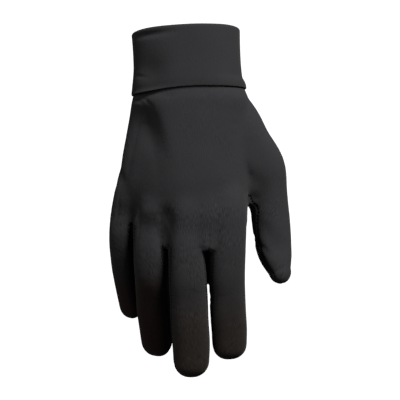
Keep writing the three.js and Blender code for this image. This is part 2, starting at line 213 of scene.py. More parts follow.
CAPS = {"thumb": 7.6, "index": 10.5, "middle": 11.5, "ring": 11.4, "little": 10}
CAP_STEPS = 7
CAP_END = 0.25
CAP_BLUNTNESS = 0.9
DIGIT_POWER = 2.5
DIGIT_SIDES = 48
RING_STEP = 4
LEAN = 0.8
LEAST_HALF = 0.1

# Seam between back and palm: where the fingers' and the thumb's seams take over from the hand's
SEAM_FAN = 90
FINGERS_FROM = (-92, -108)
HAND_BLOCK_END = -126
BLOCK_MARGIN = 1.4
THUMB_FROM = 43
THUMB_SPREAD = (1.2, 3.8)
SPREAD_HEIGHTS = (-118, -105)

# Dip of that seam at the thumb's crotch, first in the hand and then in the thumb
CROTCH_Z = -116
CROTCH_REACH = 9
CROTCH_DEPTH = 9
CROTCH_SIDE = (30, 40)
THUMB_CROTCH_DEPTH = 3
THUMB_DIP = 4
THUMB_DIP_HEIGHTS = (-104, -116)
THUMB_DIP_SIDE = (0, 8)

# Strips between the fingers: the side of each finger that they lie on, their tops and half widths, and
# the X between one and the next
FORKS = {
    "strip_index_middle": {"index": -1, "middle": 1, "top": -144.5},
    "strip_middle_ring": {"middle": -1, "ring": 1, "top": -140},
    "strip_ring_little": {"ring": -1, "little": 1, "top": -126.6},
}
STRIP_HALF = 6.5
STRIP_END_HALF = 1.2
STRIP_TAPER = 1.2
STRIP_CORNER = 4
STRIP_BORDERS = (5, -20)

# How far cut edges draw back, and the share of an edge over which a vertex slides onto a seam
SEAM_GAP = 0.08
SNAP = 0.3

# Half a stitch across the seam, along it and outward, how far it sits above the seam's bottom, and the
# vertices before and after it that give its direction
STITCH_HALF = (0.75, 0.2, 0.2)
STITCH_LIFT = 0.4
STITCH_BEFORE = 2
STITCH_AFTER = 3

# Hollows and bumps in the cloth of the back (side -1) or the palm (side 1): a place, how far it
# spreads across and along, its turn in degrees, and its depth
DENT_COLUMNS = "side x z across along turn depth"
DENTS = table(
    DENT_COLUMNS,
    (-1, -22.5, -28, 9, 10, 0, 2.6),
    (-1, -25, -64, 7, 13, 16, 1.6),
    (-1, -13.5, -121, 4.5, 6, 0, 1.4),
    (-1, 44.5, -110, 5, 5, 30, 2.2),
    (-1, 42.5, -88, 5, 10, 19, -1),
    (-1, 51, -104, 5, 9, 10, 1),
    (-1, 54, -131, 4, 7, 15, 0.9),
    (-1, 60, -142, 9, 9, 15, 1.4),
    (-1, 64, -163, 6, 5, 0, -0.9),
    (1, 0, -78, 20, 22, 0, 2),
)

# Folds: a side, how far each spreads to the little finger's side and to the thumb's, and the line
# that it follows, as X, Z and a depth, which is negative on a ridge
FOLDS = [
    (-1, 22, 8, [
        (-32, -47, 0), (-30, -54, 1.9), (-28, -60, 3), (-25.5, -68, 2.8), (-22.5, -80, 2.1),
        (-20, -94, 1.6), (-19, -108, 1), (-19, -118, 0)]),
    (-1, 9, 5, [
        (-31, -46, 0.5), (-26.5, -51, 1), (-22, -59, 1.3), (-19, -68, 1.4), (-16, -78, 1),
        (-12, -89, 0.3)]),
    (-1, 1.6, 1.2, [(-34.5, -42, 1.3), (-31.5, -44.5, 1.2), (-28.6, -47.5, 0.3)]),
    (-1, 1.8, 1.2, [(-29, -43, 0.5), (-26, -45.4, 0.9), (-21.7, -49.6, 0.3)]),
    (-1, 4, 2, [(-38, -41, 2.6), (-26, -39.8, 2.3), (-14, -37.6, 0.4)]),
    (-1, 8, 2.4, [(-8, -41, -0.1), (6, -40.4, -0.3), (38, -40.6, -0.3)]),
    (-1, 20, 12, [
        (-31, -48, 0), (-32, -60, 2.2), (-33, -75, 3), (-34, -95, 3.2), (-35, -110, 2.8),
        (-38, -122, 1.6), (-39, -134, 0)]),
    (-1, 3, 4, [(50, -134, -0.3), (52.5, -144, -1.1), (56.5, -154, -1.3), (60.5, -162, -1)]),
    (-1, 12, 8, [(16, -172, 0.6), (25, -174, 1.2), (36, -172, 0.6)]),
    (-1, 12, 8, [(-10, -174, 0.5), (0, -177, 1.1), (12, -175, 0.5)]),
    (-1, 12, 9, [
        (-46, -120, 3), (-38, -122, 3.2), (-33, -126, 2.4), (-27, -129, 3.2), (-19, -129.5, 3.2),
        (-13, -127, 1)]),
    (-1, 9, 9, [(-6, -130, 0.6), (4, -131, 1.1), (16, -132, 1.1), (26, -131, 0.5)]),
    (-1, 1.5, 1.5, [(49, -139, 0.3), (53, -143, 0.7), (56, -147, 0.3)]),
    (-1, 1.8, 1.8, [(-14.5, -42.6, 0.2), (-10.5, -43.2, 0.3), (-6.5, -43, 0.1)]),
    (-1, 1, 1, [(6.5, -142.3, 0.2), (12, -141.6, 0.5), (18.5, -144.5, 0.2)]),
    (1, 1.8, 1.8, [(38, -104, 0.3), (24, -98, 0.8), (13, -84, 0.9), (8, -66, 0.8), (10, -50, 0.3)]),
    (1, 1.8, 1.8, [(-41, -113, 0.2), (-20, -107, 0.7), (8, -108, 0.7), (28, -114, 0.2)]),
    (1, 1.5, 1.5, [(-30, -50, 0.2), (-8, -47, 0.6), (14, -49, 0.2)]),
]

# The same in the cuff
CUFF_DENTS = table(
    DENT_COLUMNS,
    (-1, -22.5, -28, 9, 10, 0, 2.8),
    (-1, -23, -3.2, 12, 2, 6, 1.9),
)
CUFF_FOLDS = [
    (-1, 1, 1, [(-34, -29.2, 0.3), (-30, -29.6, 0.9), (-25, -30.8, 0.2)]),
    (-1, 1.6, 3, [
        (-38, -39.6, 1.4), (-26, -38.2, 1.4), (-17, -37.2, 0.9), (-8, -36.6, 0.5), (40, -36.4, 0.4)]),
]

# How fast a dent or fold deepens where the cloth turns to its side
FACING_GAIN = 1.6

# Creases across the pad's side of a digit where it bends: the height of its middle, and a depth. They
# reach to a share of its width from its middle line, and are full at a depth towards the pad
BENDS = {
    "thumb": [(-104, 0.7), (-134, 0.8), (-137.5, 0.5)],
    "index": [(-150, 0.6), (-174, 1), (-178, 0.6), (-196, 0.7)],
    "middle": [(-150, 0.6), (-176, 1), (-180, 0.6), (-202, 0.7)],
    "ring": [(-142, 0.7), (-164, 1.1), (-168, 0.7), (-187, 0.8)],
    "little": [(-130, 0.7), (-149, 1.1), (-152.5, 0.7), (-168, 0.8)],
}
BEND_WIDTH = 1.5
BEND_REACH = 0.62
PAD_DEPTH = 5

# Places where the limbs flow into each other: middle, reach along X and Z
BLENDS = table(
    "x z across along",
    (0, -108, 60, 11),
    (10, -122, 26, 13),
    (13.6, -132, 9, 9),
    (34, -78, 15, 32),
    (42, -116, 5, 6),
    (43, -102, 8, 12),
    (-33, -112, 9, 8),
)
BLEND_LEAST = 0.02
BLEND_PASSES = 110
BLEND_FACTOR = 0.6
EVEN_PASSES = 3
EVEN_FACTOR = 0.5
UNEVENNESS = 0.22
UNEVEN_SIZE = 16

# Knit: the scales of its noises, the form of its loops, and how strongly each part changes the shade
STREAK_SCALE = (1300, 250, 1)
FUZZ_SCALE = (2600, 1500, 1)
MOTTLE_SCALE = 55.0
PATCH_SCALE = 70.0
LEG_SLANT = 1.7
RIB_SHARE = 0.6
LOOP_SHARE = 0.4
BASE_SHADE = 0.82
KNIT_SHADE = 0.28
FUZZ_SHADE = 0.35
MOTTLE_SHADE = 0.22

# Nap, its worn patches, and the tints of the far ends of all fingers and of ring and little finger:
# the height, noise or X in metres between which each sets in, and its strength there. The fingertips'
# warmer, darker tint is painted warm bounce light and painted shade; the darker red tint of ring and
# little finger is painted shade
NAP_SPAN = (-0.106, -0.118, 0.3, 1.0)
PATCH_SPAN = (0.44, 0.6, 0.8, 3.2)
TIP_BOUNCE_SHADE_SPAN = (-0.15, -0.215, 0, 1)
TIP_BOUNCE_SHADE_TINT = (1, 0.74, 0.5)
RING_LITTLE_SHADE_SPAN = (-0.15, -0.175, 0, 1)
RING_LITTLE_SHADE_SIDE = (-0.006, -0.014, 0, 1)
RING_LITTLE_SHADE_TINT = (0.8, 0.42, 0.32)
SHEEN = {"Sheen Weight": 0.08, "Sheen Roughness": 0.4, "Specular IOR Level": 0.25}

# Studio in metres, with each light's place, size and colour
CAMERA_X = 0.0093
CAMERA_Z = -0.1104
LIGHTS_AIM = (0.01, 0, -0.11)
LIGHTS = {
    "key": ((0.5, -0.66, 0.62), 0.42, (1, 0.99, 0.98)),
    "fill": ((-0.8, -0.55, 0.1), 0.8, (0.97, 0.98, 1)),
}
WORLD_LIGHT = 0.05
FLOOR_RADIUS = 1.3
FLOOR_CURVE = 0.5
FLOOR_CURVE_STEPS = 8
FLOOR_SIDES = 64
WALL_TOP = 2.6


# Sections


def eased(rows, position):
    """The row at a position along a table, with every column on a Catmull-Rom spline."""
    n = min(int(position), len(rows) - 2)
    t = position - n
    a, b, c, d = (rows[max(0, min(len(rows) - 1, k))] for k in range(n - 1, n + 3))
    found = {}
    for column in b:
        rise = (c[column] - a[column]) / 2
        fall = (d[column] - b[column]) / 2
        span = b[column] - c[column]
        cubic = 2 * span + rise + fall
        square = -3 * span - 2 * rise - fall
        found[column] = ((cubic * t + square) * t + rise) * t + b[column]
    return found


def eased_rows(rows, step):
    """A table's rows at about the given step, measured down the limb."""
    found = []
    for n, (row, after) in enumerate(zip(rows, rows[1:])):
        length = math.dist(*([r.get("x", 0), r.get("y", 0), r["z"]] for r in (row, after)))
        parts = max(1, round(length / step))
        found += [eased(rows, n + k / parts) for k in range(parts)]
    return found + [rows[-1]]


def value_at(rows, column, key, value):
    """A column of a table, read at a value of its rising or falling key column."""
    keys, values = [r[key] for r in rows], [r[column] for r in rows]
    order = np.argsort(keys)
    return np.interp(value, np.array(keys)[order], np.array(values)[order])


def outline(angle, power):
    """Across and out shares, from -1 to 1, of a point on a rounded outline."""
    return [math.copysign(abs(v) ** (2 / power), v) for v in (math.cos(angle), math.sin(angle))]


def angles(sides):
    return [2 * math.pi * k / sides for k in range(sides)]


def level_point(row, inset, angle):
    """A point of a level section of the hand or cuff, at a distance inside its outline."""
    across, out = outline(angle, HAND_POWER)
    half = (row["right"] - row["left"]) / 2 - inset
    depth = (row["front"] - row["back"]) / 2 - inset
    arch = row.get("arch_little" if across < 0 else "arch_thumb", 0) * across * across
    rise = row.get("tilt", CUFF_TILT) * half * across + row.get("bow", CUFF_BOW) * max(0, out) ** 2
    return Vector((
        (row["right"] + row["left"]) / 2 + half * across,
        (row["back"] + row["front"]) / 2 + arch - depth * out,
        row["z"] + rise,
    ))


def cuff_point(z, inset, angle):
    """A point of the cuff's section at a height, at a distance inside its outer surface."""
    held = max(CUFF_ROWS[0]["z"], min(CUFF_ROWS[-1]["z"], z))
    n = next(n for n, row in enumerate(CUFF_ROWS[1:]) if held <= row["z"])
    share = (held - CUFF_ROWS[n]["z"]) / (CUFF_ROWS[n + 1]["z"] - CUFF_ROWS[n]["z"])
    return level_point({**eased(CUFF_ROWS, n + share), "z": z}, inset, angle)


def with_frames(rows):
    """The rows of a digit as sections, each with its middle and its three directions."""
    found = []
    for n, row in enumerate(rows):
        before, after = rows[max(0, n - 1)], rows[min(len(rows) - 1, n + 1)]
        along = Vector([after[k] - before[k] for k in "xyz"]).normalized()
        across = (Vector((1, 0, 0)) - along * along.x).normalized()
        across.rotate(Matrix.Rotation(math.radians(-row["turn"]), 3, along))
        middle = Vector([row[k] for k in "xyz"])
        found.append({**row, "middle": middle, "along": along, "across": across, "out": along.cross(across)})
    return found


def digit_sections(name, step):
    """The sections of a digit with the rounded cap of its tip."""
    found = with_frames(eased_rows(DIGITS[name], step))
    last = found[-1]
    for k in range(1, CAP_STEPS + 1):
        angle = math.pi / 2 * k / (CAP_STEPS + CAP_END)
        share = math.cos(angle) ** CAP_BLUNTNESS
        small = {column: last[column] * share for column in ("width", "back", "front")}
        middle = last["middle"] + last["along"] * CAPS[name] * math.sin(angle)
        found.append({**last, **small, "middle": middle})
    return found


def digit_ring(section):
    """The ring of a digit's section, a little inside its outline."""
    ring = []
    for angle in angles(DIGIT_SIDES):
        across, out = outline(angle, DIGIT_POWER)
        half = max(LEAST_HALF, section["width"] / 2 - LEAN) * across
        depth = max(LEAST_HALF, section["back" if out > 0 else "front"] - LEAN) * out
        ring.append(section["middle"] + section["across"] * half + section["out"] * depth)
    return ring


def hand_rings():
    """The rings of the hand from inside the cuff, down to the webs of the fingers."""
    heights = np.linspace(*SLEEVE_RINGS)
    rings = [[cuff_point(z, SLEEVE_INSET + LEAN, a) for a in angles(HAND_SIDES)] for z in heights]
    rows = eased_rows(HAND_ROWS, RING_STEP)
    last = rows[-1]
    middle = (last["back"] + last["front"]) / 2
    for k in range(1, CAP_STEPS):
        angle = math.pi / 2 * k / CAP_STEPS
        share = math.cos(angle)
        rows.append({
            **last,
            "z": last["z"] - WEB_LENGTH * math.sin(angle),
            "back": middle + (last["back"] - middle) * share,
            "front": middle + (last["front"] - middle) * share,
        })
    return rings + [[level_point(row, LEAN, a) for a in angles(HAND_SIDES)] for row in rows]


# Meshes


def add_ring(bm, points):
    """A circle of edges with its vertices moved to their places."""
    verts = bmesh.ops.create_circle(bm, segments=len(points), radius=1)["verts"]
    for vert, point in zip(verts, points):
        vert.co = point
    return verts


def ring_edges(verts):
    inside = set(verts)
    return list(dict.fromkeys(e for v in verts for e in v.link_edges if inside.issuperset(e.verts)))


def loft(bm, rings, looped=False):
    """A skin that is drawn out from the first ring of points to each next one. A looped one comes back
    to its first ring, and any other has its two ends filled."""
    first = verts = add_ring(bm, rings[0])
    for points in [*rings[1:], *(rings[:1] if looped else [])]:
        made = bmesh.ops.extrude_edge_only(bm, edges=ring_edges(verts))["geom"]
        fresh = {item for item in made if isinstance(item, bmesh.types.BMVert)}
        verts = [next(o for o in (e.other_vert(v) for e in v.link_edges) if o in fresh) for v in verts]
        for vert, point in zip(verts, points):
            vert.co = point
    if looped:
        bmesh.ops.weld_verts(bm, targetmap=dict(zip(verts, first)))
    else:
        for end in (first, verts):
            bmesh.ops.edgeloop_fill(bm, edges=ring_edges(end))


def add_object(name, data):
    obj = bpy.data.objects.new(name, data)
    bpy.context.scene.collection.objects.link(obj)
    return obj


def finish_mesh(bm, name):
    """A smooth-shaded object of a bmesh."""
    mesh = bpy.data.meshes.new(name)
    bm.to_mesh(mesh)
    bm.free()
    mesh.shade_smooth()
    return add_object(name, mesh)


def finish_form(bm, name):
    """A smooth-shaded object of a bmesh that is in millimetres, with its faces outwards."""
    bmesh.ops.recalc_face_normals(bm, faces=bm.faces)
    bmesh.ops.scale(bm, vec=(MM, MM, MM), verts=bm.verts)
    return finish_mesh(bm, name)


def bmesh_of(obj):
    bm = bmesh.new()
    bm.from_mesh(obj.data)
    return bm


def bake_modifiers(obj):
    graph = bpy.context.evaluated_depsgraph_get()
    baked = bpy.data.meshes.new_from_object(obj.evaluated_get(graph))
    old = obj.data
    obj.modifiers.clear()
    obj.data = baked
    bpy.data.meshes.remove(old)


def all_values(items, key, width, kind=float):
    """One property of all the items, as rows of an array."""
    values = np.zeros(len(items) * width, kind)
    items.foreach_get(key, values)
    return values.reshape(-1, width)


def places_of(mesh):
    """The vertices' places in millimetres, and their normals."""
    return all_values(mesh.vertices, "co", 3) / MM, all_values(mesh.vertex_normals, "vector", 3)


def move_to(mesh, places):
    mesh.vertices.foreach_set("co", (places * MM).ravel())
    mesh.update()


# Form of the hand


def smooth_blends(obj):
    """Lets the limbs flow into each other where they meet, and takes the grid out of the rest."""
    places, _ = places_of(obj.data)
    weights = np.zeros(len(places))
    for b in BLENDS:
        reach = ((places[:, 0] - b["x"]) / b["across"]) ** 2 + ((places[:, 2] - b["z"]) / b["along"]) ** 2
        weights = np.maximum(weights, np.exp(-reach))
    group = obj.vertex_groups.new(name="blend")
    for n in np.flatnonzero(weights > BLEND_LEAST):
        group.add([int(n)], float(weights[n]), "REPLACE")
    for passes, factor, name in ((BLEND_PASSES, BLEND_FACTOR, "blend"), (EVEN_PASSES, EVEN_FACTOR, "")):
        smooth = obj.modifiers.new("smooth", "SMOOTH")
        smooth.iterations = passes
        smooth.factor = factor
        smooth.vertex_group = name
    bake_modifiers(obj)


def along_limb(sections, places):
    """Each place's station along a limb, its distances across and out there, and from its middle line."""
    best = np.full(len(places), np.inf)
    station, across, out = (np.zeros(len(places)) for _ in range(3))
    for n, (a, b) in enumerate(zip(sections, sections[1:])):
        span = np.array(b["middle"] - a["middle"])
        from_a = places - np.array(a["middle"])
        share = from_a @ span / (span @ span)
        held = np.clip(share, 0, 1)
        offset = from_a - held[:, None] * span
        far = (offset**2).sum(1)
        near = far < best
        best[near] = far[near]
        station[near] = n + held[near]
        for found, key in ((across, "across"), (out, "out")):
            mixed = np.array(a[key]) + held[near, None] * np.array(b[key] - a[key])
            found[near] = (offset[near] * mixed).sum(1)
    return station, across, out, np.sqrt(best)


def column_at(sections, column, station):
    return np.interp(station, range(len(sections)), [s[column] for s in sections])


def beside_line(points, line):
    """For points in a plane, their distance from a line of rows, which side they are on, and the row's
    last column there."""
    best = np.full(len(points), np.inf)
    side, value = np.zeros(len(points)), np.zeros(len(points))
    for a, b in zip(np.array(line[:-1], float), np.array(line[1:], float)):
        span, from_a = (b - a)[:2], points - a[:2]
        share = np.clip(from_a @ span / (span @ span), 0, 1)
        offset = from_a - share[:, None] * span
        far = np.linalg.norm(offset, axis=1)
        near = far < best
        best[near] = far[near]
        side[near] = np.sign(span[0] * offset[near, 1] - span[1] * offset[near, 0])
        value[near] = (a[2] + share * (b[2] - a[2]))[near]
    return best, side, value


def dent_depths(places, facing, dents):
    """How deep the dents are at each place. Facing is -1 on the back and 1 on the palm."""
    depth = np.zeros(len(places))
    for d in dents:
        turn = math.radians(d["turn"])
        x, z = places[:, 0] - d["x"], places[:, 2] - d["z"]
        across = (x * math.cos(turn) + z * math.sin(turn)) / d["across"]
        along = (z * math.cos(turn) - x * math.sin(turn)) / d["along"]
        deep = d["depth"] * np.exp(-(across**2) - along**2)
        depth += deep * np.clip(facing * d["side"] * FACING_GAIN, 0, 1)
    return depth


def fold_depths(places, facing, folds):
    depth = np.zeros(len(places))
    for side, little_reach, thumb_reach, line in folds:
        far, beside, deep = beside_line(places[:, [0, 2]], line)
        reach = far / np.where(beside < 0, little_reach, thumb_reach)
        depth += deep * np.exp(-(reach**2)) * np.clip(facing * side * FACING_GAIN, 0, 1)
    return depth


def bend_depths(places, limbs):
    depth = np.zeros(len(places))
    for name, bends in BENDS.items():
        sections, (station, _, out, far) = limbs[name]
        height = column_at(sections, "z", station)
        inside = far < column_at(sections, "width", station) * BEND_REACH
        pad_side = np.clip(-out / PAD_DEPTH, 0, 1) * inside
        for z, deep in bends:
            depth += deep * np.exp(-(((height - z) / BEND_WIDTH) ** 2)) * pad_side
    return depth


def unevenness(places):
    """A slow wave of the cloth, the same at each run."""
    return np.array([noise.noise(Vector(p) / UNEVEN_SIZE) for p in places]) * UNEVENNESS


# Seam fields: how far a place is inside the back panel or a strip


def ramp(value, low, high):
    """A smooth rise from 0 at low to 1 at high."""
    share = np.clip((value - low) / (high - low), 0, 1)
    return share * share * (3 - 2 * share)


def soft_least(a, b, corner):
    """The lesser of two fields, with their corner rounded."""
    near = np.clip(corner - abs(a - b), 0, None) / corner
    return np.minimum(a, b) - near * near * corner / 4


def back_field(places, limbs):
    x, y, z = places.T
    left, right = (value_at(HAND_ROWS, side, "z", z) for side in ("seam_left", "seam_right"))
    edge = value_at(HAND_ROWS, "right", "z", z) + BLOCK_MARGIN
    crotch = np.exp(-(((z - CROTCH_Z) / CROTCH_REACH) ** 2))
    hand = left + (right - left) * (x + SEAM_FAN) / (edge + SEAM_FAN) - y
    hand = hand + CROTCH_DEPTH * crotch * ramp(x, *CROTCH_SIDE)
    fingers = np.full(len(places), -np.inf)
    for name, (sections, (station, across, out, _)) in limbs.items():
        if name != "thumb":
            side = np.maximum(column_at(sections, "width", station), DIGITS[name][-1]["width"]) / 2
            fingers = np.maximum(fingers, np.minimum(out, side + BLOCK_MARGIN - abs(across)))
    _, across, out, _ = limbs["thumb"][1]
    dip = THUMB_DIP * ramp(z, *THUMB_DIP_HEIGHTS) + THUMB_CROTCH_DEPTH * crotch
    thumb = out - dip * ramp(-across, *THUMB_DIP_SIDE)
    sewn = hand + ramp(z, *FINGERS_FROM) * (np.maximum(hand, fingers) - hand)
    sewn = np.where(z < HAND_BLOCK_END, fingers, sewn)
    spread = THUMB_SPREAD[0] + THUMB_SPREAD[1] * ramp(z, *SPREAD_HEIGHTS)
    share = ramp(x, THUMB_FROM - spread, THUMB_FROM + spread)
    return sewn + share * (thumb - sewn)


def strip_field(places, limbs, fork):
    field = np.full(len(places), -np.inf)
    for name, (sections, (station, across, out, _)) in limbs.items():
        if name not in fork:
            continue
        end = len(sections) - CAP_STEPS
        start = next(n for n, s in enumerate(sections) if s["z"] < fork["top"])
        share = np.clip((station - start) / (end - start), 0, 1)
        half = STRIP_HALF + (STRIP_END_HALF - STRIP_HALF) * share**STRIP_TAPER
        reach = column_at(sections, "width", station) / 2 + BLOCK_MARGIN
        sides = soft_least(half - abs(out), fork["top"] - places[:, 2], STRIP_CORNER)
        inside = np.minimum.reduce([
            sides, fork[name] * across, reach - fork[name] * across, (end - station) * RING_STEP])
        field = np.maximum(field, inside)
    return field


def cut_along(bm, field, layers, held, wanted):
    """Cuts the wanted faces where a field that their vertices hold is zero, and slides the vertices
    that are almost there onto the cut. Those where the held field is zero stay where they are."""
    chosen = [f for f in bm.faces if wanted(f)]
    crossed = list(dict.fromkeys(e for f in chosen for e in f.edges if crosses(e, field)))
    for edge in crossed:
        for near, far in (edge.verts, reversed(edge.verts)):
            loose = held is None or near[held] != 0
            if loose and crosses(edge, field) and abs(near[field]) < SNAP * abs(near[field] - far[field]):
                share = near[field] / (near[field] - far[field])
                near.co = near.co.lerp(far.co, share)
                for layer in layers:
                    near[layer] += (far[layer] - near[layer]) * share
                near[field] = 0
    for edge in crossed:
        if crosses(edge, field):
            a, b = (v[field] for v in edge.verts)
            _, vert = bmesh.utils.edge_split(edge, edge.verts[0], a / (a - b))
            vert[field] = 0
            if held is not None and all(v[held] == 0 for v in edge.verts):
                vert[held] = 0
    for face in chosen:
        while face:
            face = cut_face(face, field)


def crosses(edge, field):
    a, b = (v[field] for v in edge.verts)
    return a * b < 0


def cut_face(face, field):
    """Cuts one face beside its first run of vertices above zero, and gives back what may need more."""
    verts = list(face.verts)
    values = [v[field] for v in verts]
    if min(values) >= 0 or max(values) <= 0:
        return None
    first = next(n for n, v in enumerate(values) if v > 0 and values[n - 1] <= 0)
    last = first
    while values[(last + 1) % len(verts)] > 0:
        last += 1
    other, _ = bmesh.utils.face_split(face, verts[first - 1], verts[(last + 1) % len(verts)])
    return other if min(v[field] for v in other.verts) < 0 else face


def roll_depth(distance, width, depth):
    """How far the cloth of a seam turns in, at a distance from the seam."""
    near = np.clip(1 - distance / width, 0, 1)
    return depth * (1 - np.sqrt(1 - near**2))


# Settings


def metres(name, description, default, low, high, precision=4):
    """A setting in metres."""
    return FloatProperty(
        name=name, description=description, default=default, min=low, max=high, unit="LENGTH",
        precision=precision)


def swatch(name, description, default):
    """A setting that is a colour."""
    return FloatVectorProperty(
        name=name, description=description, default=default, min=0, max=1, subtype="COLOR")


class GloveCloth(bpy.types.PropertyGroup):
    """Sizes of the cloth and its seams."""

    thickness: metres("Thickness", "Thickness of the knitted cloth", 0.001, 0.0003, 0.003)
    grain: metres("Mesh Step", "Distance between the points of the cloth's mesh", 0.001, 0.0006, 0.003)
    wale: metres("Wale", "Distance between the columns of the knit", 0.0007, 0.0003, 0.003, 5)
    course: metres("Course", "Distance between the rows of the knit", 0.0005, 0.0003, 0.003, 5)
    seam_width: metres(
        "Seam Width", "How far from a seam the cloth starts to turn in", 0.0016, 0.0005, 0.004)
    seam_depth: metres("Seam Depth", "How far the cloth turns in at a seam", 0.0007, 0, 0.002)
    stitch: metres("Stitch", "Distance between the stitches of a seam", 0.0024, 0.001, 0.01)


class GloveColours(bpy.types.PropertyGroup):
    """Colours of the cloth and thread. The strips' colour, far darker than the jersey's, is painted
    shade between the fingers.
    """

    jersey: swatch("Jersey", "Colour of the two panels", (0.0198, 0.0196, 0.0216))
    # The strips' dark colour is painted shade: they are the panels' knit, darkened where they lie between
    # the fingers
    strips: swatch("Strips", "Colour of the strips between the fingers", (0.007, 0.007, 0.0075))
    thread: swatch("Thread", "Colour of the seams' thread", (0.035, 0.035, 0.037))
    cuff: swatch("Cuff", "Colour of the folded cuff", (0.017, 0.0168, 0.0186))


class GloveStage(bpy.types.PropertyGroup):
    """Camera, lights and floor."""

    lens: FloatProperty(
        name="Lens", description="Focal length of the camera", default=108.3, min=20, max=300,
        subtype="DISTANCE_CAMERA")
    distance: metres("Distance", "Distance of the camera from the middle of the wrist", 0.8, 0.3, 3, 2)
    key: FloatProperty(
        name="Key Light", description="Power of the large light at the upper right",
        default=20, min=0, max=500, unit="POWER")
    fill: FloatProperty(
        name="Fill Light", description="Power of the weak light at the left",
        default=2.8, min=0, max=500, unit="POWER")
    floor: metres("Floor Height", "Height of the floor under the wrist opening", -0.36, -2, -0.25, 2)


# Knit material


class Nodes:
    """The nodes of a material, which are added and linked here."""

    def __init__(self, material):
        material.use_nodes = True
        self.tree = material.node_tree
        self.shader = self.tree.nodes["Principled BSDF"]

    def add(self, kind, inputs=(), **settings):
        node = self.tree.nodes.new(kind)
        for name, value in settings.items():
            setattr(node, name, value)
        for key, value in dict(inputs).items():
            self.put(value, node.inputs[key])
        return node

    def put(self, value, socket):
        if isinstance(value, bpy.types.NodeSocket):
            self.tree.links.new(value, socket)
        else:
            socket.default_value = value

    def math(self, operation, a, b=0.0):
        return self.add("ShaderNodeMath", {0: a, 1: b}, operation=operation).outputs[0]

    def span(self, value, low, high, to_low, to_high):
        inputs = {0: value, 1: low, 2: high, 3: to_low, 4: to_high}
        return self.add("ShaderNodeMapRange", inputs, interpolation_type="SMOOTHSTEP").outputs[0]

    def noise(self, vector, scale, detail=2.0):
        inputs = {"Vector": vector, "Scale": scale, "Detail": detail}
        return self.add("ShaderNodeTexNoise", inputs).outputs["Fac"]

    def scaled(self, vector, scale):
        return self.add("ShaderNodeMapping", {"Vector": vector, "Scale": scale}).outputs[0]

    def tint(self, colour):
        return self.add("ShaderNodeCombineColor", dict(enumerate(colour))).outputs[0]

    def paint(self, tint, shade):
        """Gives the material a tint at an uneven shade as its colour."""
        tone = self.add("ShaderNodeVectorMath", {0: tint, "Scale": shade}, operation="SCALE").outputs[0]
        self.finish({"Base Color": tone})

    def finish(self, inputs):
        for name, value in inputs.items():
            self.put(value, self.shader.inputs[name])


def knit_material(name, colour, cloth, nap):
    """Fine plain knit with the soft nap and uneven dye of a worn liner glove, with painted light in its
    colour: a warmer, darker tint towards the fingertips for warm bounce light and shade, and a darker
    red tint on the far ends of ring and little finger for their shade.
    """
    material = bpy.data.materials.new(name)
    n = Nodes(material)
    flat = n.add("ShaderNodeUVMap", uv_map="cloth").outputs[0]
    place = n.add("ShaderNodeTexCoord").outputs["Object"]
    u, v, _ = n.add("ShaderNodeSeparateXYZ", {0: flat}).outputs
    column = n.math("MULTIPLY", u, 1 / cloth.wale)
    leg = n.math("ABSOLUTE", n.math("SUBTRACT", n.math("FRACT", column), 0.5))
    row = n.math("ADD", n.math("MULTIPLY", v, 1 / cloth.course), n.math("MULTIPLY", leg, LEG_SLANT))
    rib = n.math("SINE", n.math("MULTIPLY", n.math("FRACT", column), math.pi))
    loop = n.math("SINE", n.math("MULTIPLY", n.math("FRACT", row), math.pi))
    knit = n.math("ADD", n.math("MULTIPLY", rib, RIB_SHARE), n.math("MULTIPLY", loop, LOOP_SHARE))
    streaks = n.noise(n.scaled(flat, STREAK_SCALE), 1.0, 3.0)
    fuzz = n.noise(n.scaled(flat, FUZZ_SCALE), 1.0, 2.0)
    mottle = n.noise(place, MOTTLE_SCALE, 3.0)
    side, _, height = n.add("ShaderNodeSeparateXYZ", {0: place}).outputs
    patches = n.span(n.noise(place, PATCH_SCALE), *PATCH_SPAN)
    brushed = n.math("MULTIPLY", n.math("MULTIPLY", n.span(height, *NAP_SPAN), patches), nap)
    shade = n.math("ADD", n.math("MULTIPLY", knit, KNIT_SHADE), BASE_SHADE)
    for grain, amount in ((streaks, brushed), (fuzz, FUZZ_SHADE), (mottle, MOTTLE_SHADE)):
        uneven = n.math("MULTIPLY", n.math("SUBTRACT", grain, 0.5), amount)
        shade = n.math("ADD", shade, uneven)
    tint = n.tint(colour)
    # Painted shade: a darker red tint where the far ends of ring and little finger lie in shade
    ring_little_shade = n.math("MULTIPLY", n.span(height, *RING_LITTLE_SHADE_SPAN), n.span(side, *RING_LITTLE_SHADE_SIDE))
    # Painted light: multiplies in the fingertips' warmer, darker tint (painted warm bounce light and shade)
    # and the ring and little finger's darker red tint (painted shade)
    for reach, worn in ((n.span(height, *TIP_BOUNCE_SHADE_SPAN), TIP_BOUNCE_SHADE_TINT), (ring_little_shade, RING_LITTLE_SHADE_TINT)):
        shade_tint = n.add("ShaderNodeMix", {0: reach, 6: (1, 1, 1, 1), 7: (*worn, 1)}, data_type="RGBA")
        tint = n.add("ShaderNodeVectorMath", {0: tint, 1: shade_tint.outputs[2]}, operation="MULTIPLY").outputs[0]
    n.paint(tint, shade)
    bump = n.add("ShaderNodeBump", {"Height": knit, "Strength": 0.5, "Distance": 0.0001})
    nap_bump = n.add(
        "ShaderNodeBump",
        {"Height": streaks, "Strength": 0.35, "Distance": 0.0004, "Normal": bump.outputs[0]})
    rough = n.span(fuzz, 0.3, 0.7, 0.85, 0.98)
    n.finish({"Normal": nap_bump.outputs[0], "Roughness": rough, **SHEEN})
    return material


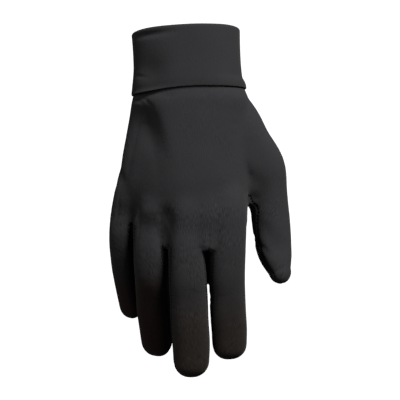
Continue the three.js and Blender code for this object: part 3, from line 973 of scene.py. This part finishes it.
def thread_material(colour):
    """Spun thread with a slightly uneven shade."""
    material = bpy.data.materials.new("seam_thread")
    n = Nodes(material)
    place = n.add("ShaderNodeTexCoord").outputs["Object"]
    n.paint(n.tint(colour), n.span(n.noise(place, 900.0), 0.3, 0.7, 0.5, 1.5))
    n.finish({"Roughness": 0.8})
    return material


# Making the pieces


FORM = "hand_form"
STITCHES = "seam_stitches"
OUTWARD = "outward"

# Regions of the form that become pieces. The strips' numbers go on from the first one's.
BACK, PALM, FIRST_STRIP = range(3)


def lay_flat(obj):
    """Unwraps a piece as the flat cloth that it was cut from, with the knit running down, and gives
    back the cloth's width and length and its area."""
    bpy.context.view_layer.objects.active = obj
    obj.data.uv_layers.new(name="cloth")
    bpy.ops.object.mode_set(mode="EDIT")
    bpy.ops.mesh.select_all(action="SELECT")
    bpy.ops.uv.unwrap(method="ANGLE_BASED", margin=0)
    bpy.ops.object.mode_set(mode="OBJECT")
    mesh = obj.data
    flat = all_values(mesh.uv_layers["cloth"].data, "uv", 2)
    corners = all_values(mesh.loops, "vertex_index", 1, int)[:, 0]
    height = places_of(mesh)[0][corners, 2]
    fit = np.linalg.lstsq(np.c_[flat, np.ones(len(flat))], height, rcond=None)[0][:2]
    down = fit / np.linalg.norm(fit)
    mesh.calc_loop_triangles()
    ends = all_values(mesh.loop_triangles, "loops", 3, int)
    a, b, c = (flat[ends[:, k]] for k in range(3))
    flat_area = abs(np.cross(b - a, c - a)).sum() / 2
    area = sum(p.area for p in mesh.polygons)
    scale = math.sqrt(area / flat_area)
    turned = np.c_[flat @ [down[1], -down[0]], flat @ down] * scale
    mesh.uv_layers["cloth"].data.foreach_set("uv", turned.ravel())
    return turned.max(0) - turned.min(0), area


def cut_piece(region, material, node):
    """One sewn piece: the form's faces of a region, as cloth with a thickness."""
    name = node + "_cloth"
    bm = bmesh_of(bpy.data.objects[FORM])
    tags = bm.faces.layers.int["region"]
    bmesh.ops.delete(bm, geom=[f for f in bm.faces if f[tags] != region], context="FACES")
    keep_largest(bm)
    open_seam(bm)
    obj = finish_mesh(bm, name)
    flat, area = lay_flat(obj)
    obj.data.materials.append(material)
    thicken(obj, bpy.context.scene.glove_cloth.thickness)
    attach(obj, "root")
    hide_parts(node)
    if node in FORKS:
        flat = strip_flat(FORKS[node])


def strip_flat(fork):
    """The width and length of a strip whose fork is opened out into one straight piece."""
    length = 0
    for name in set(fork) & set(DIGITS):
        sections = digit_sections(name, RING_STEP)[:-CAP_STEPS]
        middles = [s["middle"] for s in sections if s["z"] < fork["top"]]
        length += sum((b - a).length for a, b in zip(middles, middles[1:]))
    return 2 * STRIP_HALF * MM, length * MM


def open_seam(bm):
    """Draws the cut edge of a piece back a little, and evens it."""
    rim = [v for v in bm.verts if v.is_boundary]
    middles = {v: sum((e.other_vert(v).co for e in v.link_edges), Vector()) / len(v.link_edges) for v in rim}
    for vert in rim:
        step = middles[vert] - vert.co
        if step.length > 0:
            vert.co += step * min(1, SEAM_GAP * MM / step.length)


def thicken(obj, thickness):
    """Gives a sheet of cloth its inner side and its edges."""
    bm = bmesh_of(obj)
    out = bm.verts.layers.float_vector[OUTWARD]
    made = bmesh.ops.extrude_face_region(bm, geom=bm.faces[:], use_keep_orig=True)["geom"]
    for vert in made:
        if isinstance(vert, bmesh.types.BMVert):
            vert.co -= vert[out] * thickness
    bmesh.ops.recalc_face_normals(bm, faces=bm.faces)
    bm.to_mesh(obj.data)
    bm.free()
    obj.data.shade_smooth()


def keep_largest(bm):
    """Drops the crumbs that a seam can leave, and keeps the piece itself."""
    left, islands = set(bm.verts), []
    while left:
        island, edge = set(), [left.pop()]
        while edge:
            vert = edge.pop()
            island.add(vert)
            for e in vert.link_edges:
                other = e.other_vert(vert)
                if other in left:
                    left.remove(other)
                    edge.append(other)
        islands.append(island)
    islands.sort(key=len)
    crumbs = [v for island in islands[:-1] for v in island]
    bmesh.ops.delete(bm, geom=crumbs, context="VERTS")


class GLOVE_OT_form(bpy.types.Operator):
    """Build the worn form of the hand that the sewn pieces are cut from"""

    bl_idname = "glove.form"
    bl_label = "Worn Form"

    def execute(self, context):
        cloth = context.scene.glove_cloth
        bm = bmesh.new()
        loft(bm, hand_rings())
        for name in DIGITS:
            loft(bm, [digit_ring(section) for section in digit_sections(name, RING_STEP)])
        for bridge in BRIDGES:
            loft(bm, [digit_ring(section) for section in with_frames(eased_rows(bridge, RING_STEP))])
        form = finish_form(bm, FORM)
        remesh = form.modifiers.new("remesh", "REMESH")
        remesh.mode = "VOXEL"
        remesh.voxel_size = cloth.grain
        bake_modifiers(form)
        smooth_blends(form)
        places, normals = places_of(form.data)
        limbs = limbs_at(places)
        depth = dent_depths(places, normals[:, 1], DENTS) + fold_depths(places, normals[:, 1], FOLDS)
        depth += bend_depths(places, limbs) + unevenness(places) - LEAN
        places -= normals * depth[:, None]
        move_to(form.data, places)
        self.mark_pieces(form, cloth)
        return {"FINISHED"}

    def mark_pieces(self, form, cloth):
        """Cuts the form's faces along the seams, turns the cloth in there, and marks each piece."""
        places, normals = places_of(form.data)
        limbs = limbs_at(places)
        back_values = back_field(places, limbs)
        strip_values = np.maximum.reduce([strip_field(places, limbs, fork) for fork in FORKS.values()])
        bm = bmesh_of(form)
        back = bm.verts.layers.float.new("back")
        strip = bm.verts.layers.float.new("strip")
        out = bm.verts.layers.float_vector.new(OUTWARD)
        for vert, in_back, in_strip, normal in zip(bm.verts, back_values, strip_values, normals):
            vert[back] = in_back
            vert[strip] = in_strip
            vert[out] = normal
        bmesh.ops.bisect_plane(
            bm, geom=[*bm.verts, *bm.edges, *bm.faces], plane_co=(0, 0, SLEEVE_TOP * MM),
            plane_no=(-CUFF_TILT, 0, 1), clear_outer=True)
        cut_along(bm, strip, (back, out), None, lambda face: True)
        cut_along(bm, back, (strip, out), strip, lambda face: min(v[strip] for v in face.verts) < 0)
        tags = bm.faces.layers.int.new("region")
        for face in bm.faces:
            if sum(v[strip] for v in face.verts) > 0:
                middle = face.calc_center_median().x / MM
                face[tags] = FIRST_STRIP + sum(middle < border for border in STRIP_BORDERS)
            else:
                face[tags] = PALM if sum(v[back] for v in face.verts) < 0 else BACK
        width, deep = cloth.seam_width / MM, cloth.seam_depth / MM
        for vert in bm.verts:
            seam = abs(vert[strip])
            if vert[strip] < 0:
                seam = min(seam, abs(vert[back]))
            if seam < width:
                vert.co -= vert[out] * float(roll_depth(seam, width, deep)) * MM
        bmesh.ops.triangulate(bm, faces=[f for f in bm.faces if len(f.verts) > 4])
        bm.to_mesh(form.data)
        bm.free()
        form.data.shade_smooth()


def limbs_at(places):
    """Each digit's sections, and where the places lie along them."""
    limbs = {}
    for name in DIGITS:
        sections = digit_sections(name, RING_STEP)
        limbs[name] = sections, along_limb(sections, places)
    return limbs


def seam_runs(bm):
    """The seams of the form as runs of vertices."""
    tags = bm.faces.layers.int["region"]
    beside = {}
    for edge in bm.edges:
        if len({face[tags] for face in edge.link_faces}) > 1:
            for vert in edge.verts:
                beside.setdefault(vert, []).append(edge.other_vert(vert))
    ends = [vert for vert, others in beside.items() if len(others) != 2]
    runs, used = [], set()
    for start in [*ends, *beside]:
        for after in beside[start]:
            run = [start]
            while after and frozenset((run[-1], after)) not in used:
                used.add(frozenset((run[-1], after)))
                run.append(after)
                onward = [o for o in beside[after] if o != run[-2]]
                after = onward[0] if len(onward) == 1 else None
            if len(run) > 1:
                runs.append(run)
    return runs


def stitch_places(run, out, step):
    """Even places along a run of vertices: the middle of each, and its frame."""
    far = np.cumsum([0, *((b.co - a.co).length for a, b in zip(run, run[1:]))])
    found = []
    for reach in np.arange(step / 2, far[-1], step):
        n = int(np.searchsorted(far, reach)) - 1
        middle = run[n].co.lerp(run[n + 1].co, (reach - far[n]) / (far[n + 1] - far[n]))
        along = run[min(len(run) - 1, n + STITCH_AFTER)].co - run[max(0, n - STITCH_BEFORE)].co
        across = along.cross(run[n][out]).normalized()
        found.append((middle, across, along.normalized(), across.cross(along).normalized()))
    return found


class GLOVE_OT_stitches(bpy.types.Operator):
    """Sew small stitches across the seams of the worn form"""

    bl_idname = "glove.stitches"
    bl_label = "Seam Stitches"

    def execute(self, context):
        cloth = context.scene.glove_cloth
        form, thread = bmesh_of(bpy.data.objects[FORM]), bmesh.new()
        out = form.verts.layers.float_vector[OUTWARD]
        size = Matrix.Diagonal((*(half * MM for half in STITCH_HALF), 1))
        for run in seam_runs(form):
            for middle, *frame in stitch_places(run, out, cloth.stitch):
                turn = Matrix(frame).transposed().to_4x4()
                place = Matrix.Translation(middle + frame[2] * STITCH_LIFT * MM)
                bmesh.ops.create_icosphere(thread, subdivisions=1, radius=1, matrix=place @ turn @ size)
        form.free()
        stitches = finish_mesh(thread, STITCHES)
        stitches.data.materials.append(thread_material(context.scene.glove_colours.thread))
        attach(stitches, "root")
        return {"FINISHED"}


class GLOVE_OT_panels(bpy.types.Operator):
    """Cut the back panel and the palm panel out of the worn form"""

    bl_idname = "glove.panels"
    bl_label = "Panels"

    def execute(self, context):
        scene = context.scene
        jersey = knit_material("jersey_knit", scene.glove_colours.jersey, scene.glove_cloth, nap=0.8)
        cut_piece(BACK, jersey, "back_panel")
        cut_piece(PALM, jersey, "palm_panel")
        return {"FINISHED"}


class GLOVE_OT_strips(bpy.types.Operator):
    """Cut the three strips between the fingers out of the worn form"""

    bl_idname = "glove.strips"
    bl_label = "Finger Strips"

    def execute(self, context):
        scene = context.scene
        # Painted shade: the strips' darker colour stands for the shade between the fingers
        jersey = knit_material("strip_knit", scene.glove_colours.strips, scene.glove_cloth, nap=0.4)
        for region, node in enumerate(FORKS, FIRST_STRIP):
            cut_piece(region, jersey, node)
        return {"FINISHED"}


def half_turn(middle, radius, level, rise, steps):
    """Half a turn of the cuff's profile, from the inner side of its middle inset to the outer one."""
    turns = [math.pi * k / steps for k in range(steps + 1)]
    return [(middle + radius * math.cos(a), level, rise * math.sin(a)) for a in turns]


def cuff_profile():
    """The folded band's closed profile: insets, shares of the way from the fold down to the hem, and
    lifts."""
    inner = CUFF_CLOTH + LAYERS_GAP
    fold = CUFF_CLOTH + LAYERS_GAP / 2
    half = CUFF_CLOTH / 2
    down = np.linspace(0, 1, LAYER_STEPS)[1:-1]
    profile = half_turn(half, half, 1, -half, HEM_STEPS)
    profile += [(0, share, 0) for share in down[::-1]]
    profile += half_turn(fold, -fold, 0, fold, FOLD_STEPS)
    profile += [(inner + CUFF_CLOTH, share, 0) for share in down]
    profile += half_turn(inner + half, half, INNER_REACH, -half, INNER_HEM_STEPS)
    profile += [(inner, share, 0) for share in down[::-1]]
    profile += half_turn(fold, LAYERS_GAP / 2, 0, LAYERS_GAP / 2, INNER_FOLD_STEPS)
    profile += [(CUFF_CLOTH, share, 0) for share in down]
    return profile


class GLOVE_OT_cuff(bpy.types.Operator):
    """Build the cuff, folded double over its top edge"""

    bl_idname = "glove.cuff"
    bl_label = "Cuff"

    def execute(self, context):
        scene = context.scene
        bm = bmesh.new()
        rings = []
        top = CUFF_TOP - CUFF_CLOTH - LAYERS_GAP / 2
        for inset, share, lift in cuff_profile():
            ring = []
            for angle in angles(CUFF_SIDES):
                point = cuff_point(top, 0, angle)
                hem = value_at(HEM, "z", "x", point.x) + CUFF_CLOTH / 2
                z = top + (hem - point.z) * share + lift
                ring.append(cuff_point(z, inset, angle))
            rings.append(ring)
        loft(bm, rings, looped=True)
        cuff = finish_form(bm, "cuff_band")
        places, normals = places_of(cuff.data)
        facing = np.clip(places[:, 1] / CUFF_FACING, -1, 1)
        depth = dent_depths(places, facing, CUFF_DENTS) + fold_depths(places, facing, CUFF_FOLDS)
        places += np.array([0, 1, 0]) * depth[:, None]
        places -= normals * unevenness(places)[:, None] * CUFF_UNEVEN
        move_to(cuff.data, places)
        self.lay_knit(cuff)
        jersey = knit_material("cuff_knit", scene.glove_colours.cuff, scene.glove_cloth, nap=0.2)
        cuff.data.materials.append(jersey)
        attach(cuff, "root")
        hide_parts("cuff")
        return {"FINISHED"}

    def lay_knit(self, cuff):
        """Lays the knit round the band, with its columns running up it."""
        mesh = cuff.data
        layer = mesh.uv_layers.new(name="cloth")
        places, _ = places_of(mesh)
        for face in mesh.polygons:
            turns = []
            for loop in face.loop_indices:
                x, y, z = places[mesh.loops[loop].vertex_index]
                turns.append((math.atan2(-y, x) / (2 * math.pi), z))
            if max(t for t, _ in turns) - min(t for t, _ in turns) > 0.5:
                turns = [(t + (t < 0), z) for t, z in turns]
            for loop, (turn, z) in zip(face.loop_indices, turns):
                layer.data[loop].uv = (turn * CUFF_FLAT[0], z * MM)


class GLOVE_OT_stage(bpy.types.Operator):
    """Set up the camera, the soft lights and the pale floor"""

    bl_idname = "glove.stage"
    bl_label = "Studio"

    def execute(self, context):
        settings = context.scene.glove_stage
        self.add_camera(context.scene, settings)
        for name, (place, size, colour) in LIGHTS.items():
            self.add_light(name + "_light", place, size, getattr(settings, name), colour)
        self.add_floor(settings)
        world = bpy.data.worlds.new("studio")
        world.use_nodes = True
        background = world.node_tree.nodes["Background"]
        background.inputs["Color"].default_value = (1, 1, 1, 1)
        background.inputs["Strength"].default_value = WORLD_LIGHT
        context.scene.world = world
        context.scene.view_settings.view_transform = "Standard"
        return {"FINISHED"}

    def add_camera(self, scene, settings):
        data = bpy.data.cameras.new("camera")
        data.lens = settings.lens
        data.sensor_width = 36
        data.clip_start = 0.01
        camera = add_object("camera", data)
        camera.location = (CAMERA_X, -settings.distance, CAMERA_Z)
        camera.rotation_euler = (math.pi / 2, 0, 0)
        scene.camera = camera

    def add_light(self, name, place, size, power, colour):
        data = bpy.data.lights.new(name, "AREA")
        data.shape = "DISK"
        data.size = size
        data.energy = power
        data.color = colour
        light = add_object(name, data)
        light.location = place
        aim = Vector(LIGHTS_AIM) - Vector(place)
        light.rotation_euler = aim.to_track_quat("-Z", "Y").to_euler()

    def add_floor(self, settings):
        """A round floor whose rim curves up into a wall."""
        bm = bmesh.new()
        profile = [(0, 0), (FLOOR_RADIUS, 0)]
        for k in range(1, FLOOR_CURVE_STEPS + 1):
            angle = math.pi / 2 * k / FLOOR_CURVE_STEPS
            out, up = math.sin(angle), 1 - math.cos(angle)
            profile.append((FLOOR_RADIUS + FLOOR_CURVE * out, FLOOR_CURVE * up))
        profile.append((FLOOR_RADIUS + FLOOR_CURVE, WALL_TOP))
        verts = [bm.verts.new((x, 0, settings.floor + z)) for x, z in profile]
        edges = [bm.edges.new(pair) for pair in zip(verts, verts[1:])]
        bmesh.ops.spin(
            bm, geom=[*verts, *edges], cent=(0, 0, 0), axis=(0, 0, 1), angle=2 * math.pi,
            steps=FLOOR_SIDES, use_merge=True)
        bmesh.ops.remove_doubles(bm, verts=bm.verts, dist=0.0001)
        bmesh.ops.recalc_face_normals(bm, faces=bm.faces)
        floor = finish_mesh(bm, "floor")
        material = bpy.data.materials.new("pale_paper")
        Nodes(material).finish({
            "Base Color": (0.8, 0.8, 0.8, 1), "Roughness": 1, "Emission Color": (1, 1, 1, 1),
            "Emission Strength": 0.9})
        floor.data.materials.append(material)
        floor.visible_diffuse = False
        floor.visible_glossy = False
        floor.visible_shadow = False


class GLOVE_PT_panel(bpy.types.Panel):
    """Lists the steps that make the glove"""

    bl_label = "Liner Glove"
    bl_idname = "GLOVE_PT_panel"
    bl_space_type = "VIEW_3D"
    bl_region_type = "UI"
    bl_category = "Glove"

    def draw(self, context):
        for step in STEPS:
            self.layout.operator(f"glove.{step}")
        for group in SETTINGS:
            settings = getattr(context.scene, group)
            for name in settings.__annotations__:
                self.layout.prop(settings, name)


STEPS = ("form", "stitches", "panels", "strips", "cuff", "stage")
SETTINGS = {"glove_cloth": GloveCloth, "glove_colours": GloveColours, "glove_stage": GloveStage}
CLASSES = (
    *SETTINGS.values(), GLOVE_OT_form, GLOVE_OT_stitches, GLOVE_OT_panels, GLOVE_OT_strips, GLOVE_OT_cuff,
    GLOVE_OT_stage, GLOVE_PT_panel,
)


def register():
    for cls in CLASSES:
        bpy.utils.register_class(cls)
    for name, group in SETTINGS.items():
        setattr(bpy.types.Scene, name, PointerProperty(type=group))


def unregister():
    for name in SETTINGS:
        delattr(bpy.types.Scene, name)
    for cls in reversed(CLASSES):
        bpy.utils.unregister_class(cls)


def main():
    register()
    for step in STEPS:
        getattr(bpy.ops.glove, step)()
    bpy.data.objects.remove(bpy.data.objects[FORM])


if __name__ == "__main__":
    main()
